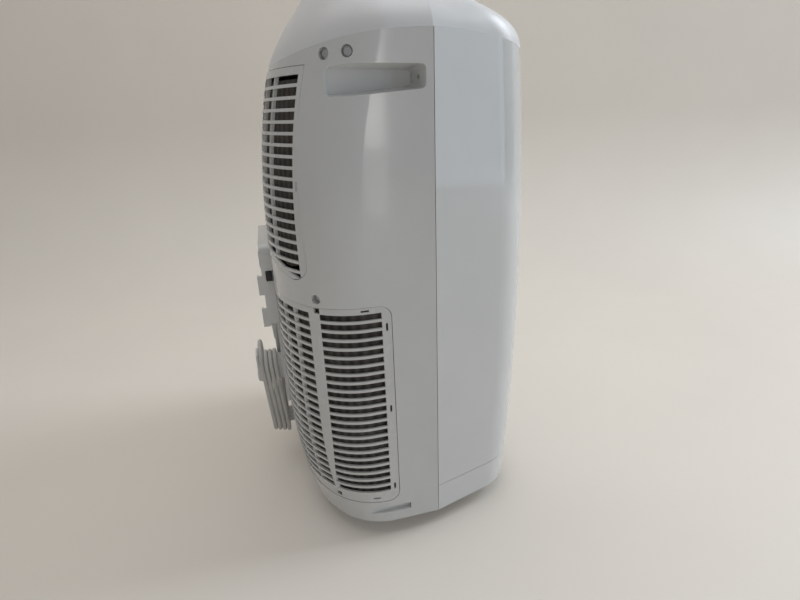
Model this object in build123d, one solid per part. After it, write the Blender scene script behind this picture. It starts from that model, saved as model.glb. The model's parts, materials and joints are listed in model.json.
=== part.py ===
from build123d import *
from math import ceil, cos, pi, radians, sin, sqrt
import os

# A portable air conditioner on casters, in millimetres. +Z is up and -Y is the front.
# The origin is on the floor, under the middle of the box that the unit fills without its cord.
# Lengths called "rel" run front to back and are counted from the seam between the two shells.

# Overall size
WIDTH = 449.0
HEIGHT = 735.0
FRONT_REACH = 162.0
BACK_REACH = 191.0
HOOK_REACH = 236.0
BASE_Z = 25.0
LIP_Z = 652.0
SEAM_Y = (FRONT_REACH - HOOK_REACH) / 2

# Moulded walls and fits
WALL = 2.8
COVER_WALL = 3.0
SEAM_GAP = 0.8
FIT_GAP = 0.6
RUN_GAP = 0.05
TONGUE = 8.0

# Plan outline
REAR_CORNER_R = 90.0
REAR_CORNER_TURN = 50.0
REAR_BLEND_R = 155.0
FRONT_TAPER = 15.6
FRONT_CORNER_R = 75.0
FRONT_BOW_R = 985.0

# Upright bow of the front and the back
FRONT_MID_Z = 320.0
FRONT_UPRIGHT_R = 3040.0
BACK_LOW_Z = 200.0
BACK_HIGH_Z = 440.0
BACK_UPRIGHT_R = 658.0
SKIN_STEPS = 7

# Top cover: a shoulder that leans in from the lip, under a flat sloping deck
LIP_FRONT_DROP = 26.0
LIP_BACK_DROP = 27.0
LIP_STEP = 1.2
SHOULDER_Z = 20.0
SHOULDER_SIDE_IN = 10.5
SHOULDER_FRONT_IN = 30.0
SHOULDER_BACK_IN = 14.0
CROWN_Z = 88.0
CROWN_SIDE_IN = 46.0
CROWN_FRONT_IN = 72.0
CROWN_BACK_IN = 58.0
DECK_SLOPE = 17.0
DECK_TOP_REL = 92.0
DECK_EDGE_R = 12.0

# Front panel
TRIM_Z = 69.0

# Upper filter grille
UPPER_TOP_Z = 621.0
UPPER_LOW_Z = 378.0
UPPER_ARCH = 40.0
UPPER_HALF_TOP = 191.0
UPPER_HALF_LOW = 199.0
UPPER_RIM_TOP = 8.0
UPPER_RIM_SIDE_TOP = 4.0
UPPER_RIM_SIDE_LOW = 10.0
UPPER_RIM_LOW = 11.0
UPPER_CORNER_R = 22.0
UPPER_CUT_REL = 124.0
UPPER_PITCH = 12.0
BAR = 3.5
GRILLE_SET = 0.6
GRILLE_T = 3.0
RIB_T = 1.6
RIB_SET_BACK = 1.6
RIB_DEPTH = 4.0
UPPER_RIB_PITCH = 28.5
NOTCH_W = 24.0
NOTCH_H = 5.0

# Lower grilles
LOWER_TOP_Z = 357.0
LOWER_LOW_Z = 62.0
LOWER_FRONT_REL = 57.0
LOWER_INNER_X = 84.0
LOWER_CORNER_R = 15.0
LOUVRE_FRONT_REL = 69.0
LOUVRE_BACK_REL = 141.0
GRID_OUTER_X = 193.0
GRID_INNER_X = 94.0
LOUVRE_TOP_Z = 349.0
LOUVRE_LOW_Z = 76.0
LOUVRE_PITCH = 11.85
GRID_RIB_PITCH = 25.5
CLIP_SLOT_W = 2.6
CLIP_SLOT_L = 10.0
POCKET_X = 199.0
POCKET_W = 8.0
POCKET_H = 7.0

# Filter sheets
FILTER_T = 1.0
FILTER_GAP = 0.6
FILTER_IN = 12.0

# Side handle recess
HANDLE_FRONT_REL = 7.0
HANDLE_BACK_REL = 120.0
HANDLE_FRONT_TOP_Z = 619.0
HANDLE_FRONT_LOW_Z = 594.0
HANDLE_BACK_TOP_Z = 622.0
HANDLE_BACK_LOW_Z = 586.0
HANDLE_DEPTH_FRONT = 30.0
HANDLE_DEPTH_BACK = 20.0
HANDLE_DRAFT = 5.0
HANDLE_CORNER_R = 5.0
HANDLE_SCREW_R = 2.6

# Low grip groove in each side
GROOVE_FRONT_REL = 41.0
GROOVE_BACK_REL = 128.0
GROOVE_LOW_Z = 41.0
GROOVE_TOP_Z = 51.0
GROOVE_DEPTH = 6.0

# Screw wells in the rear shell: how far round the corner, and how far from the lip or the lower grille
WELL_SIDE_TURN = 20.0
WELL_SIDE_DROP = 21.0
WELL_BACK_TURN = 36.0
WELL_BACK_DROP = 22.0
WELL_LOW_TURN = 40.0
WELL_LOW_RISE = 11.0
WELL_R = 6.0
WELL_DEPTH = 11.0
WELL_WALL = 2.0
SCREW_HEAD_R = 4.2
SCREW_HEAD_T = 3.0
SCREW_R = 1.9
SCREW_L = 8.0

# Exhaust outlet and its hose latches
EXHAUST_Z = 346.0
EXHAUST_W = 146.0
EXHAUST_H = 124.0
EXHAUST_CORNER_R = 14.0
EXHAUST_PROUD = 15.0
EXHAUST_WALL = 2.6
EXHAUST_SEAT = 0.15
EXHAUST_BORE_R = 50.0
COLLAR_IN = 20.0
RAIL_PROUD = 7.0
RAIL_T = 4.0
RAIL_H = 28.0
LATCH_Y = 8.0
LATCH_H = 14.0
LATCH_L = 12.0
LATCH_PROUD = 1.5
LATCH_Z = 363.0

# Spine strip and cord hooks
SPINE_HALF = 30.0
SPINE_LOW_Z = 131.0
SPINE_PROUD = 5.0
HOOK_Z = 190.0
HOOK_LOW_Z = 168.0
HOOK_R = 16.4
HOOK_LIP_T = 3.0
HOOK_LIP_UP = 26.0
LOWER_HOOK_Z = 88.0
LOWER_HOOK_REACH = 211.0
LOWER_HOOK_SEAT = 185.0
LOWER_HOOK_HALF = 13.0

# Power cord
CORD_D = 6.6
CORD_PITCH = 7.3
CORD_SEAT_GAP = 0.4
HANK_LOOPS = 4
HANK_LOW_Z = 82.0
HANK_LIFT = 2.0
TAIL_R = 33.0
TAIL_END_Z = 172.0
GLAND_TOP_Z = 258.0
GLAND_LOW_Z = 224.0
GLAND_TOP_R = 7.0
GLAND_LOW_R = 4.6
BOSS_H = 14.0
BOSS_HALF = 10.0
PLUG_L = 34.0
PLUG_R = 13.0
PLUG_NECK_R = 9.0
PLUG_EDGE_R = 2.2
PLUG_PIN_L = 19.0
PLUG_PIN_R = 2.4
PLUG_PIN_PITCH = 19.0

# Outlet flap, control panel and buttons, all on the deck
DECK_FRONT_REL = -104.0
FLAP_DEPTH = 78.0
FLAP_W = 292.0
FLAP_T = 3.0
FLAP_CORNER_R = 10.0
FLAP_GAP = 1.2
HINGE_R = 2.0
HINGE_SET = 18.0
HINGE_DROP = 6.5
HINGE_PIN_L = 9.0
KNUCKLE_W = 8.0
KNUCKLE_HALF = 4.5
PANEL_GAP = 14.0
PANEL_DEPTH = 60.0
PANEL_W = 236.0
PANEL_T = 1.6
PANEL_CORNER_R = 12.0
DISPLAY_W = 62.0
DISPLAY_H = 30.0
DISPLAY_T = 1.2
BUTTON_NAMES = ("power", "mode", "fan_speed", "timer", "down", "up")
BUTTON_R = 8.0
BUTTON_PITCH = 23.0
BUTTON_T = 4.2
BUTTON_PROUD = 1.6
BUTTON_TRAVEL = 1.0
BUTTON_GAP = 0.6
DUCT_WALL = 2.0

# Base pan and casters
PAN_Z = 54.4
PAN_T = 4.0
PAN_RIM_H = 3.0
PAN_INSET = 3.2
CASTER_X = 150.0
CASTER_FRONT_REL = -82.0
CASTER_BACK_REL = 100.0
WHEEL_R = 20.0
WHEEL_W = 17.0
TYRE_EDGE = 1.6
DISH_R = 13.6
DISH_DEPTH = 3.0
AXLE_R = 3.0
FORK_T = 3.0
FORK_SIDE_GAP = 0.6
FORK_PLATE_R = 17.0
CHEEK_R = 7.0
CHEEK_BACK = 13.6
CHEEK_FRONT = 10.2
FORK_GAP = 0.4
TRAIL = 12.0
STEM_R = 4.0
STEM_H = 11.0
SOCKET_R = 8.0
SOCKET_H = 15.0

# Drain
DRAIN_X = 58.0
DRAIN_Z = 78.0
DRAIN_R = 6.0
DRAIN_BORE_R = 4.0
DRAIN_PROUD = 9.0
CAP_T = 2.2
CAP_L = 11.0

# Cold side and warm side, front to back
COIL_REL = 104.0
COIL_T = 30.0
COIL_TUBE_R = 4.0
FIN_PITCH = 12.0
COND_COIL_W = 260.0
COND_COIL_H = 205.0
EVAP_COIL_W = 320.0
EVAP_COIL_H = 185.0
MID_DECK_Z = 404.0
MID_DECK_T = 3.0
MID_DECK_INSET = 3.4
MID_DECK_BACK_REL = 136.0
MID_DECK_SIDE_X = 168.0
MID_DECK_SIDE_REL = 95.0
SCROLL_REL = 20.0
SCROLL_DEPTH = 70.0
SCROLL_T = 2.0
COND_SCROLL_R = 108.0
COND_FAN_R = 86.0
EVAP_SCROLL_R = 98.0
EVAP_FAN_R = 78.0
FAN_Z_COND = 176.0
FAN_Z_EVAP = 506.0
FAN_W = 54.0
FAN_BLADES = 28
BLADE_L = 15.0
BLADE_T = 1.2
BLADE_ANGLE = 35.0
SHAFT_R = 4.0
MOTOR_R = 44.0
MOTOR_L = 56.0
TOWER_W = 84.0
VANE_CELLS = 6
DUCT_DROP = 24.0
DUCT_BACK_REL = 92.0
DUCT_STEP_REL = -18.0
DUCT_Z = 606.0
DUCT_BOX_H = 40.0
PLENUM_LOW_Z = 288.0

# Compressor
COMP_X = 112.0
COMP_REL = -72.0
COMP_R = 57.0
COMP_H = 205.0
COMP_EDGE_R = 20.0
COMP_FOOT_R = 74.0
GROMMET_H = 12.0
GROMMET_R = 11.0
TANK_R = 22.0
TANK_H = 120.0
TANK_EDGE_R = 8.8
TANK_TURN = 45.0
TANK_RISE = 154.0

# Control box and condensate slinger
BOX_REL = -110.0
BOX_W = 96.0
BOX_DEPTH = 46.0
BOX_H = 150.0
SLING_X = -186.0
SLING_REL = 92.0
SLING_R = 24.0
SLING_T = 6.0
SLING_Z = 86.0
SLING_MOTOR_R = 17.0
SLING_MOTOR_L = 28.0
PIPE_R = 4.0


def rel(distance):
    return SEAM_Y + distance


def block(x0, x1, y0, y1, z0, z1):
    size = (x1 - x0, y1 - y0, z1 - z0)
    middle = ((x0 + x1) / 2, (y0 + y1) / 2, (z0 + z1) / 2)
    return Pos(*middle) * Box(*size)


def rod_y(x, z, radius, y0, y1):
    return Pos(x, (y0 + y1) / 2, z) * Rot(90, 0, 0) * Cylinder(radius, y1 - y0)


def rod_z(x, y, radius, z0, z1):
    return Pos(x, y, (z0 + z1) / 2) * Cylinder(radius, z1 - z0)


def flip(shape):
    return mirror(shape, about=Plane.YZ)


def prism_x(face, half_length):
    return extrude(Plane.YZ * face, half_length, both=True)


def prism_y(face, y0, y1):
    return extrude(Plane.XZ.offset(-y0) * face, -(y1 - y0))


# Outline of the shells
def front_in(z):
    return (z - FRONT_MID_Z) ** 2 / (2 * FRONT_UPRIGHT_R)


def back_in(z):
    past = max(BACK_LOW_Z - z, z - BACK_HIGH_Z, 0)
    return past ** 2 / (2 * BACK_UPRIGHT_R)


def mirrored(points):
    return [(-x, y, z) for x, y, z in points]


def rear_points(z, half, back):
    """Right-hand corner: side, corner arc, blend arc, end of the flat back."""
    inset = WIDTH / 2 - half
    turn = radians(REAR_CORNER_TURN)
    small = REAR_CORNER_R - inset
    large = REAR_BLEND_R - inset
    large_x = half - small * (1 - cos(turn)) - large * cos(turn)
    large_y = SEAM_Y + back - large
    small_x = half - small
    small_y = large_y + (large - small) * sin(turn)
    mid = (turn + pi / 2) / 2
    return [
        (half, small_y, z),
        (small_x + small * cos(turn / 2), small_y + small * sin(turn / 2), z),
        (small_x + small * cos(turn), small_y + small * sin(turn), z),
        (large_x + large * cos(mid), large_y + large * sin(mid), z),
        (large_x, SEAM_Y + back, z),
    ]


def front_points(z, half, front):
    """Right-hand corner of the front: end of the side, corner arc, start of the bowed face."""
    inset = WIDTH / 2 - half
    taper = radians(FRONT_TAPER)
    small = FRONT_CORNER_R - inset
    large = FRONT_BOW_R - inset
    along = Vector(-sin(taper), -cos(taper))
    inward = Vector(-cos(taper), sin(taper))
    start = Vector(half, SEAM_Y)
    bow = Vector(0, SEAM_Y - front + large)
    offset = start + inward * small - bow
    lead = offset.dot(along)
    run = -lead + sqrt(lead ** 2 - offset.dot(offset) + (large - small) ** 2)
    side = start + along * run
    centre = side + inward * small
    face = bow + (centre - bow) * (large / (large - small))
    mid = centre + ((side - centre) + (face - centre)).normalized() * small
    return [(p.X, p.Y, z) for p in (side, mid, face)]


def rear_path(z, half, back, from_y=None):
    right = rear_points(z, half, back)
    left = mirrored(right)
    start = (half, SEAM_Y if from_y is None else from_y, z)
    return [
        Line(start, right[0]),
        ThreePointArc(right[0], right[1], right[2]),
        ThreePointArc(right[2], right[3], right[4]),
        Line(right[4], left[4]),
        ThreePointArc(left[4], left[3], left[2]),
        ThreePointArc(left[2], left[1], left[0]),
        Line(left[0], mirrored([start])[0]),
    ]


def front_path(z, half, front):
    right = front_points(z, half, front)
    left = mirrored(right)
    return [
        Line((-half, SEAM_Y, z), left[0]),
        ThreePointArc(left[0], left[1], left[2]),
        ThreePointArc(left[2], (0, SEAM_Y - front, z), right[2]),
        ThreePointArc(right[2], right[1], right[0]),
        Line(right[0], (half, SEAM_Y, z)),
    ]


def corner_path(z, inset, front_y, inner_x):
    """Left-hand outline from the side round the rear corner to the back."""
    half = WIDTH / 2 - inset
    back = BACK_REACH - back_in(z) - inset
    corner = mirrored(rear_points(z, half, back))
    return [
        Line((-half, front_y, z), corner[0]),
        ThreePointArc(corner[0], corner[1], corner[2]),
        ThreePointArc(corner[2], corner[3], corner[4]),
        Line(corner[4], (-inner_x, SEAM_Y + back, z)),
    ]


def ring(outer, inner):
    """Face between two open paths that run the same way."""
    first = Line(outer[0] @ 0, inner[0] @ 0)
    last = Line(outer[-1] @ 1, inner[-1] @ 1)
    return Face(Wire([*outer, last, *inner, first]))


def levels(low, high, steps):
    return [low + (high - low) * i / steps for i in range(steps + 1)]


def full_face(z, inset, front_rel=None, back_rel=None, side_in=0.0):
    half = WIDTH / 2 - inset - side_in
    front = (FRONT_REACH - front_in(z) if front_rel is None else front_rel) - inset
    back = (BACK_REACH - back_in(z) if back_rel is None else back_rel) - inset
    return Face(Wire(rear_path(z, half, back) + front_path(z, half, front)))


def rear_skin(low, high, steps, outer, inner, from_y=None):
    faces = []
    for z in levels(low, high, steps):
        back = BACK_REACH - back_in(z)
        paths = [rear_path(z, WIDTH / 2 - i, back - i, from_y) for i in (outer, inner)]
        faces.append(ring(*paths))
    return loft(faces)


def front_skin(low, high, steps, outer, inner):
    faces = []
    for z in levels(low, high, steps):
        front = FRONT_REACH - front_in(z)
        paths = [front_path(z, WIDTH / 2 - i, front - i) for i in (outer, inner)]
        faces.append(ring(*paths))
    return loft(faces)


def corner_skin(low, high, steps, outer, inner, front_y, inner_x):
    faces = []
    for z in levels(low, high, steps):
        faces.append(ring(*[corner_path(z, i, front_y, inner_x) for i in (outer, inner)]))
    return loft(faces)


# Lip between the shells and the top cover, an arch seen from the side
def above_lip(lift=0.0):
    far = 3 * WIDTH
    front_y = rel(-FRONT_REACH)
    back_y = rel(BACK_REACH)
    arch = Spline(
        (front_y, LIP_Z - LIP_FRONT_DROP + lift),
        (rel(0), LIP_Z + lift),
        (back_y, LIP_Z - LIP_BACK_DROP - back_in(LIP_Z) / 4 + lift),
    )
    sides = Polyline(arch @ 1, (back_y, far), (front_y, far), arch @ 0)
    return prism_x(make_face([*arch.edges(), *sides.edges()]), WIDTH)


# Deck plane: a point on the deck, with its local x along X and local y up the slope
def deck_plane(rise, drop=0.0):
    """Plane on the deck, "rise" along the slope from the deck's front line, "drop" below it."""
    lean = radians(DECK_SLOPE)
    top = Vector(0, rel(DECK_TOP_REL), HEIGHT)
    run = (DECK_TOP_REL - DECK_FRONT_REL) / cos(lean) - rise
    along = Vector(0, cos(lean), sin(lean))
    normal = Vector(0, -sin(lean), cos(lean))
    return Plane(top - along * run - normal * drop, x_dir=(1, 0, 0), z_dir=normal)


def under_deck(drop=0.0):
    size = 3 * WIDTH
    return deck_plane(0, drop) * Pos(0, 0, -size / 2) * Box(size, size, size)


def cover_solid(inset, drop):
    """Solid of the top cover: straight to the lip, then leaning in to the crown."""
    shoulder = LIP_Z + SHOULDER_Z
    crown = LIP_Z + CROWN_Z
    low = LIP_Z - 2 * LIP_BACK_DROP
    back = BACK_REACH - back_in(LIP_Z - LIP_BACK_DROP)
    front = FRONT_REACH - front_in(LIP_Z - LIP_FRONT_DROP)
    step = inset + LIP_STEP
    lip_in = SHOULDER_BACK_IN
    faces = [
        full_face(low, step),
        full_face(LIP_Z - LIP_BACK_DROP, step),
        full_face(LIP_Z, step, front - LIP_STEP * 4, back - lip_in),
        full_face(shoulder, step, front - SHOULDER_FRONT_IN, back - 2 * lip_in, SHOULDER_SIDE_IN),
        full_face(crown, step, front - CROWN_FRONT_IN, back - lip_in - CROWN_BACK_IN, CROWN_SIDE_IN),
    ]
    solid = loft(faces) & under_deck(drop)
    deck = solid.faces().sort_by(Axis.Z)[-1]
    return solid.fillet(DECK_EDGE_R - inset, deck.edges())


# Shells
def handle_shape(grow):
    """Tapering recess for the fingers, cut into the left side."""
    outer_x = -(WIDTH / 2 + HANDLE_CORNER_R)
    front_x = -(WIDTH / 2 - HANDLE_DEPTH_FRONT - grow)
    back_x = -(WIDTH / 2 - HANDLE_DEPTH_BACK - grow)
    rims = (
        (HANDLE_FRONT_REL - grow, HANDLE_FRONT_LOW_Z - grow),
        (HANDLE_BACK_REL + grow, HANDLE_BACK_LOW_Z - grow),
        (HANDLE_BACK_REL + grow, HANDLE_BACK_TOP_Z + grow),
        (HANDLE_FRONT_REL - grow, HANDLE_FRONT_TOP_Z + grow),
    )
    lean = ((1, 1), (-1, 1), (-1, -1), (1, -1))
    outer = [(outer_x, rel(y), z) for y, z in rims]
    inner = []
    for (y, z), (sy, sz) in zip(rims, lean):
        x = front_x if sy > 0 else back_x
        inner.append((x, rel(y + sy * 2 * HANDLE_DRAFT), z + sz * HANDLE_DRAFT))
    faces = []
    for corners in (outer, inner):
        faces.append(Face(Wire(FilletPolyline(*corners, radius=HANDLE_CORNER_R, close=True).edges())))
    return loft(faces, ruled=True)


def well_places():
    """Screw wells on the left rear corner: height and turn round the corner from the side."""
    return (
        (LIP_Z - WELL_SIDE_DROP, WELL_SIDE_TURN),
        (LIP_Z - WELL_BACK_DROP, WELL_BACK_TURN),
        (LOWER_TOP_Z + WELL_LOW_RISE, WELL_LOW_TURN),
    )


def well_frames():
    """Planes on the surface at each well, with z pointing out."""
    frames = []
    for z, turn in well_places():
        corner = rear_points(z, WIDTH / 2, BACK_REACH - back_in(z))
        angle = radians(turn)
        x = WIDTH / 2 - REAR_CORNER_R * (1 - cos(angle))
        y = corner[0][1] + REAR_CORNER_R * sin(angle)
        for side in (-1, 1):
            outward = (side * cos(angle), sin(angle), 0)
            frames.append(Plane((side * x, y, z), x_dir=(0, 0, 1), z_dir=outward))
    return frames


def upper_outline(gap):
    """Outline of the upper grille seen from the back, with its arched lower edge."""
    low = UPPER_LOW_Z - gap
    top = UPPER_TOP_Z + gap
    half_top = UPPER_HALF_TOP + gap
    half_low = UPPER_HALF_LOW + gap
    arch = ThreePointArc((-half_low, low), (0, low + UPPER_ARCH), (half_low, low))
    sides = Polyline(arch @ 1, (half_top, top), (-half_top, top), arch @ 0)
    face = make_face([*arch.edges(), *sides.edges()])
    lower = face.vertices().sort_by(Axis.Y)[:2]
    return fillet(lower, UPPER_CORNER_R)


def upper_window():
    """Barred part of the upper grille seen from the back."""
    low = UPPER_LOW_Z + UPPER_RIM_LOW
    top = UPPER_TOP_Z - UPPER_RIM_TOP
    half_top = UPPER_HALF_TOP - UPPER_RIM_SIDE_TOP
    half_low = UPPER_HALF_LOW - UPPER_RIM_SIDE_LOW
    arch = ThreePointArc((-half_low, low), (0, low + UPPER_ARCH), (half_low, low))
    sides = Polyline(arch @ 1, (half_top, top), (-half_top, top), arch @ 0)
    return make_face([*arch.edges(), *sides.edges()])


def lower_opening(gap):
    """Left lower opening: rounded seen from the side and rounded seen from the back."""
    far = WIDTH
    height = LOWER_TOP_Z - LOWER_LOW_Z + 2 * gap
    mid = (LOWER_TOP_Z + LOWER_LOW_Z) / 2
    corner = LOWER_CORNER_R + gap
    side = Pos(rel(LOWER_FRONT_REL) - gap + far / 2, mid) * RectangleRounded(far, height, corner)
    back = Pos(-(LOWER_INNER_X - gap) - far / 2, mid) * RectangleRounded(far, height, corner)
    return prism_x(side, far) & prism_y(back, rel(0), rel(BACK_REACH + far / 4))


def groove():
    x = WIDTH / 2
    return block(-x - GROOVE_DEPTH, -x + GROOVE_DEPTH, rel(GROOVE_FRONT_REL), rel(GROOVE_BACK_REL),
                 GROOVE_LOW_Z, GROOVE_TOP_Z)


def rear_shell():
    top = LIP_Z + TONGUE
    skin = rear_skin(BASE_Z, top, SKIN_STEPS, 0, WALL)
    body = loft([Face(Wire([*path, Line(path[-1] @ 1, path[0] @ 0)])) for path in
                 [rear_path(z, WIDTH / 2 - WALL / 2, BACK_REACH - back_in(z) - WALL / 2)
                  for z in levels(BASE_Z, top, SKIN_STEPS)]])
    cups = handle_shape(WALL)
    backing = groove_backing()
    pads = [cups, flip(cups), backing, flip(backing)]
    for frame in well_frames():
        pads.append(frame * Pos(0, 0, -WELL_DEPTH / 2) * Cylinder(WELL_R + WELL_WALL, WELL_DEPTH))
    pads.append(block(-SPINE_HALF, SPINE_HALF, rel(BACK_REACH - 2 * WALL), rel(BACK_REACH), SPINE_LOW_Z,
                      EXHAUST_Z - EXHAUST_H / 2))
    pads = [pad & body for pad in pads]
    strip = block(-SPINE_HALF, SPINE_HALF, rel(BACK_REACH - WALL), rel(BACK_REACH + SPINE_PROUD),
                  SPINE_LOW_Z, EXHAUST_Z - EXHAUST_H / 2)
    boss = block(cord_x() - BOSS_HALF, cord_x() + BOSS_HALF, rel(BACK_REACH - WALL), cord_y(0) + BOSS_HALF,
                 GLAND_TOP_Z, GLAND_TOP_Z + BOSS_H)
    hook_pad = block(-LOWER_HOOK_HALF - WALL, LOWER_HOOK_HALF + WALL,
                     rel(LOWER_HOOK_SEAT) - 4 * WALL, rel(LOWER_HOOK_SEAT),
                     LOWER_HOOK_Z - LOWER_HOOK_HALF - WALL, LOWER_HOOK_Z + LOWER_HOOK_HALF)
    handle = handle_shape(0)
    lower = lower_opening(FIT_GAP)
    cuts = [handle, flip(handle), lower, flip(lower), groove(), flip(groove()), above_lip()]
    cuts.append(prism_y(upper_outline(FIT_GAP), rel(UPPER_CUT_REL), rel(BACK_REACH + WIDTH)))
    cuts.append(rod_y(0, EXHAUST_Z, EXHAUST_BORE_R + EXHAUST_WALL + FIT_GAP, rel(BACK_REACH - COLLAR_IN),
                      rel(BACK_REACH + EXHAUST_PROUD)))
    cuts.append(rod_y(DRAIN_X, DRAIN_Z, DRAIN_R + FIT_GAP, rel(REAR_CORNER_R), rel(BACK_REACH + WALL)))
    screw_hole = rod_y(WIDTH / 2 - HANDLE_DEPTH_FRONT / 2, (HANDLE_FRONT_TOP_Z + HANDLE_FRONT_LOW_Z) / 2,
                       HANDLE_SCREW_R, rel(0), rel(HANDLE_FRONT_REL + 4 * HANDLE_DRAFT))
    cuts += [screw_hole, flip(screw_hole)]
    for frame in well_frames():
        cuts.append(frame * Pos(0, 0, -(WELL_DEPTH - WELL_WALL) / 2 + WALL) *
                    Cylinder(WELL_R, WELL_DEPTH - WELL_WALL + 2 * WALL))
        cuts.append(frame * Pos(0, 0, -WELL_DEPTH) * Cylinder(SCREW_R + RUN_GAP, 2 * WELL_DEPTH))
    cuts.append(block(cord_x() - BOSS_HALF, cord_x() + BOSS_HALF, rel(BACK_REACH), rel(HOOK_REACH),
                      GLAND_LOW_Z - WALL, GLAND_TOP_Z))
    return skin.fuse(*pads, strip, boss, hook_pad).cut(*cuts)


def groove_backing():
    x = WIDTH / 2 - GROOVE_DEPTH
    return block(-x - GROOVE_DEPTH, -x + WALL, rel(GROOVE_FRONT_REL) - WALL, rel(GROOVE_BACK_REL),
                 GROOVE_LOW_Z - WALL, GROOVE_TOP_Z + WALL)


def cord_y(loop):
    return rel(BACK_REACH + SPINE_PROUD) + CORD_SEAT_GAP + CORD_D / 2 + CORD_PITCH * loop


def upper_grille():
    low = UPPER_LOW_Z - UPPER_RIM_LOW
    top = UPPER_TOP_Z + UPPER_RIM_TOP
    start = rel(REAR_CORNER_R / 2)
    skin = rear_skin(low, top, 3, GRILLE_SET, GRILLE_SET + GRILLE_T, start)
    frame = skin & prism_y(upper_outline(0), rel(REAR_CORNER_R), rel(BACK_REACH + WIDTH))
    window = prism_y(upper_window(), rel(REAR_CORNER_R), rel(BACK_REACH + WIDTH))
    window_top = UPPER_TOP_Z - UPPER_RIM_TOP
    rows = int((window_top - UPPER_LOW_Z - UPPER_RIM_LOW) / UPPER_PITCH) + 1
    gaps = []
    for row in range(rows):
        z1 = window_top - row * UPPER_PITCH
        gap = block(-WIDTH, WIDTH, rel(REAR_CORNER_R), rel(BACK_REACH + WALL), z1 - UPPER_PITCH + BAR, z1)
        gaps.append(gap & window)
    notch = block(-NOTCH_W / 2, NOTCH_W / 2, rel(REAR_CORNER_R), rel(BACK_REACH),
                  UPPER_TOP_Z - NOTCH_H, UPPER_TOP_Z + WALL)
    slot_x = (UPPER_HALF_TOP + UPPER_HALF_LOW) / 2 - (UPPER_RIM_SIDE_TOP + UPPER_RIM_SIDE_LOW) / 4
    slot_z = (UPPER_TOP_Z + UPPER_LOW_Z) / 2
    slot = block(-slot_x - CLIP_SLOT_W / 2, -slot_x + CLIP_SLOT_W / 2, rel(UPPER_CUT_REL), rel(BACK_REACH),
                 slot_z - CLIP_SLOT_L / 2, slot_z + CLIP_SLOT_L / 2)
    inner = rear_skin(low, top, 3, RIB_SET_BACK, RIB_SET_BACK + RIB_DEPTH, start) & window
    ribs_each_side = int(UPPER_HALF_LOW / UPPER_RIB_PITCH)
    ribs = []
    for i in range(-ribs_each_side + 1, ribs_each_side):
        x = i * UPPER_RIB_PITCH
        slice_x = block(x - RIB_T / 2, x + RIB_T / 2, rel(REAR_CORNER_R), rel(BACK_REACH), low, top)
        ribs.append(inner & slice_x)
    return frame.cut(*gaps, notch, slot, flip(slot)).fuse(*ribs)


def lower_grille():
    low = LOWER_LOW_Z - WALL
    top = LOWER_TOP_Z + WALL
    front = rel(LOWER_FRONT_REL) - WALL
    inner_x = LOWER_INNER_X - WALL
    skin = corner_skin(low, top, 4, GRILLE_SET, GRILLE_SET + GRILLE_T, front, inner_x)
    frame = skin & lower_opening(0)
    rows = int((LOUVRE_TOP_Z - LOUVRE_LOW_Z) / LOUVRE_PITCH)
    gaps = []
    for row in range(rows):
        z1 = LOUVRE_TOP_Z - row * LOUVRE_PITCH
        z0 = z1 - LOUVRE_PITCH + BAR
        gaps.append(block(-WIDTH / 2 - WALL, -GRID_OUTER_X - GRILLE_T,
                          rel(LOUVRE_FRONT_REL), rel(LOUVRE_BACK_REL), z0, z1))
        gaps.append(block(-GRID_OUTER_X, -GRID_INNER_X, rel(REAR_CORNER_R), rel(BACK_REACH + WALL), z0, z1))
    slot_depth = WIDTH / 2 - 2 * WALL
    for z in (LOUVRE_TOP_Z - CLIP_SLOT_L * 2, (LOUVRE_TOP_Z + LOUVRE_LOW_Z) / 2, LOUVRE_LOW_Z + CLIP_SLOT_L):
        y = rel((LOWER_FRONT_REL + LOUVRE_FRONT_REL) / 2)
        gaps.append(block(-WIDTH, -slot_depth, y - CLIP_SLOT_W / 2, y + CLIP_SLOT_W / 2,
                          z - CLIP_SLOT_L / 2, z + CLIP_SLOT_L / 2))
    for z in ((LOUVRE_TOP_Z + LOWER_TOP_Z) / 2, (LOUVRE_LOW_Z + LOWER_LOW_Z) / 2):
        y = rel(LOUVRE_FRONT_REL) + 2 * CLIP_SLOT_L
        gaps.append(block(-WIDTH, -slot_depth, y - CLIP_SLOT_L / 2, y + CLIP_SLOT_L / 2,
                          z - CLIP_SLOT_W / 2, z + CLIP_SLOT_W / 2))
        corner = Plane((-POCKET_X, rel(LOUVRE_BACK_REL), z), x_dir=(1, 1, 0), z_dir=(-1, 1, 0))
        gaps.append(corner * Box(POCKET_W, POCKET_H, 8 * WALL))
    inner = corner_skin(low, top, 4, RIB_SET_BACK, RIB_SET_BACK + RIB_DEPTH, front, inner_x)
    ribs = []
    for i in range(1, ceil((GRID_OUTER_X - GRID_INNER_X) / GRID_RIB_PITCH)):
        x = -GRID_OUTER_X + i * GRID_RIB_PITCH
        ribs.append(inner & block(x - RIB_T / 2, x + RIB_T / 2, rel(REAR_CORNER_R), rel(BACK_REACH),
                                  LOUVRE_LOW_Z - WALL, LOUVRE_TOP_Z + WALL))
    return frame.cut(*gaps).fuse(*ribs)


def front_panel():
    skin = front_skin(TRIM_Z + SEAM_GAP / 2, LIP_Z + TONGUE, SKIN_STEPS, 0, WALL)
    return skin.cut(above_lip(), seam_side())


def front_lower_trim():
    return front_skin(BASE_Z, TRIM_Z - SEAM_GAP / 2, 2, 0, WALL).cut(seam_side())


def seam_side():
    return block(-WIDTH, WIDTH, SEAM_Y - SEAM_GAP, SEAM_Y + TONGUE, 0, HEIGHT)


# Top cover with its deck
def deck_box(width, depth, rise, x, top, bottom):
    """Box on the deck, "top" and "bottom" being depths under the surface."""
    return deck_plane(rise) * Pos(x, 0, -(top + bottom) / 2) * Box(width, depth, bottom - top)


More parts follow.
